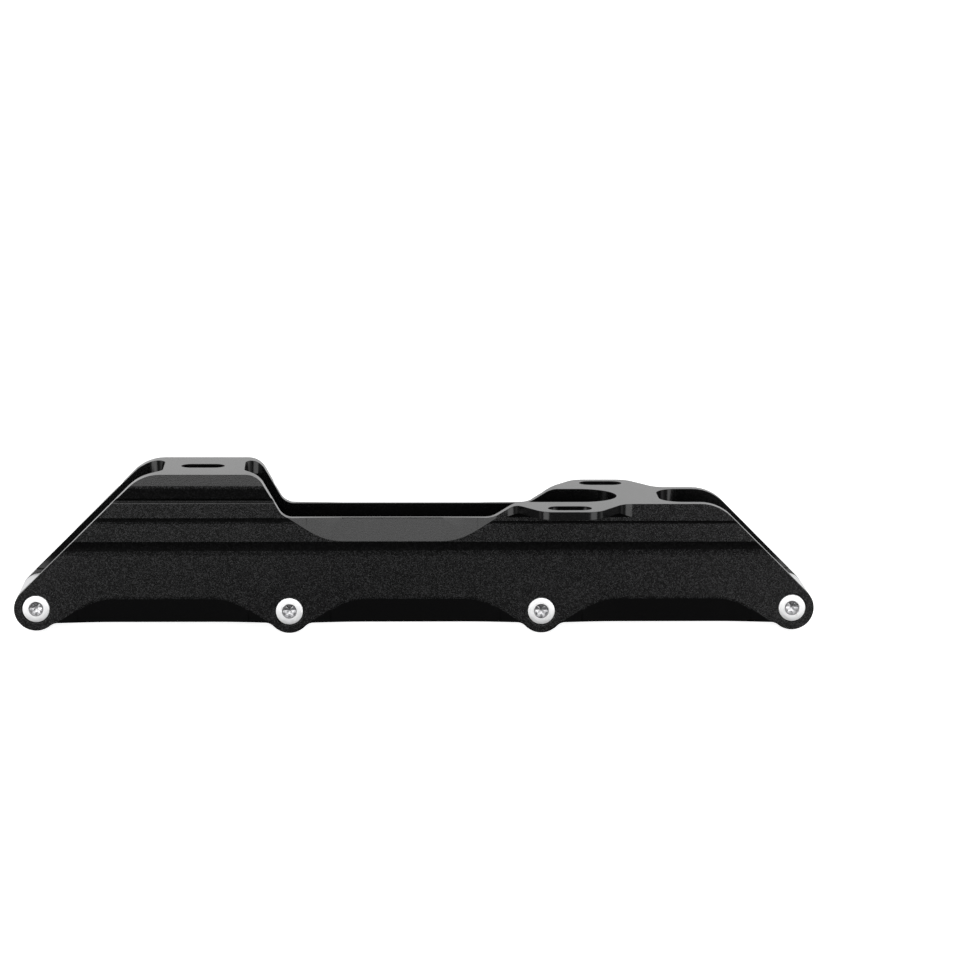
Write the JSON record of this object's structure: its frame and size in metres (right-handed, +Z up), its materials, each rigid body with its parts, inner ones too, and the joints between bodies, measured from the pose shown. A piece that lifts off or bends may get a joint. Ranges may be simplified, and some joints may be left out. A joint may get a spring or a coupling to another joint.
{
  "type": "inline skate frame",
  "caption": "Black anodised inline skate frame machined in one piece, with raised heel deck, winged front mount, slotted bolt holes, bright flush axles and axle sleeves.",
  "frame": {"origin": "under the middle of the wheelbase and of the width, level with the lowest lobe", "axes": "+X to the toe, +Y to the inner side of the right foot, +Z up to the boot"},
  "size_m": [0.291, 0.068, 0.059],
  "materials": {
    "body": "bead-blasted black anodised, brighter on milled faces",
    "axle": "turned, bright",
    "sleeve": "satin"
  },
  "bodies": {
    "frame": {"frame_body": "body"},
    "axle_1": {"axle_1": "axle"},
    "axle_sleeve_1": {"axle_sleeve_1": "sleeve"},
    "axle_2": {"axle_2": "axle"},
    "axle_sleeve_2": {"axle_sleeve_2": "sleeve"},
    "axle_3": {"axle_3": "axle"},
    "axle_sleeve_3": {"axle_sleeve_3": "sleeve"},
    "axle_4": {"axle_4": "axle"},
    "axle_sleeve_4": {"axle_sleeve_4": "sleeve"}
  },
  "joints": [
    {"name": "axle_1_draw", "type": "slide", "parent": "frame", "child": "axle_1", "axis": [0, -1, 0], "range_m": [0, 0.045]},
    {"name": "axle_sleeve_1_spin", "type": "hinge", "parent": "frame", "child": "axle_sleeve_1", "pos_m": [-0.1375, 0, 0.009], "axis": [0, 1, 0], "continuous": true},
    {"name": "axle_2_draw", "type": "slide", "parent": "frame", "child": "axle_2", "axis": [0, -1, 0], "range_m": [0, 0.045]},
    {"name": "axle_sleeve_2_spin", "type": "hinge", "parent": "frame", "child": "axle_sleeve_2", "pos_m": [-0.04583, 0, 0.008], "axis": [0, 1, 0], "continuous": true},
    {"name": "axle_3_draw", "type": "slide", "parent": "frame", "child": "axle_3", "axis": [0, -1, 0], "range_m": [0, 0.045]},
    {"name": "axle_sleeve_3_spin", "type": "hinge", "parent": "frame", "child": "axle_sleeve_3", "pos_m": [0.04583, 0, 0.008], "axis": [0, 1, 0], "continuous": true},
    {"name": "axle_4_draw", "type": "slide", "parent": "frame", "child": "axle_4", "axis": [0, -1, 0], "range_m": [0, 0.045]},
    {"name": "axle_sleeve_4_spin", "type": "hinge", "parent": "frame", "child": "axle_sleeve_4", "pos_m": [0.1375, 0, 0.009], "axis": [0, 1, 0], "continuous": true}
  ]
}
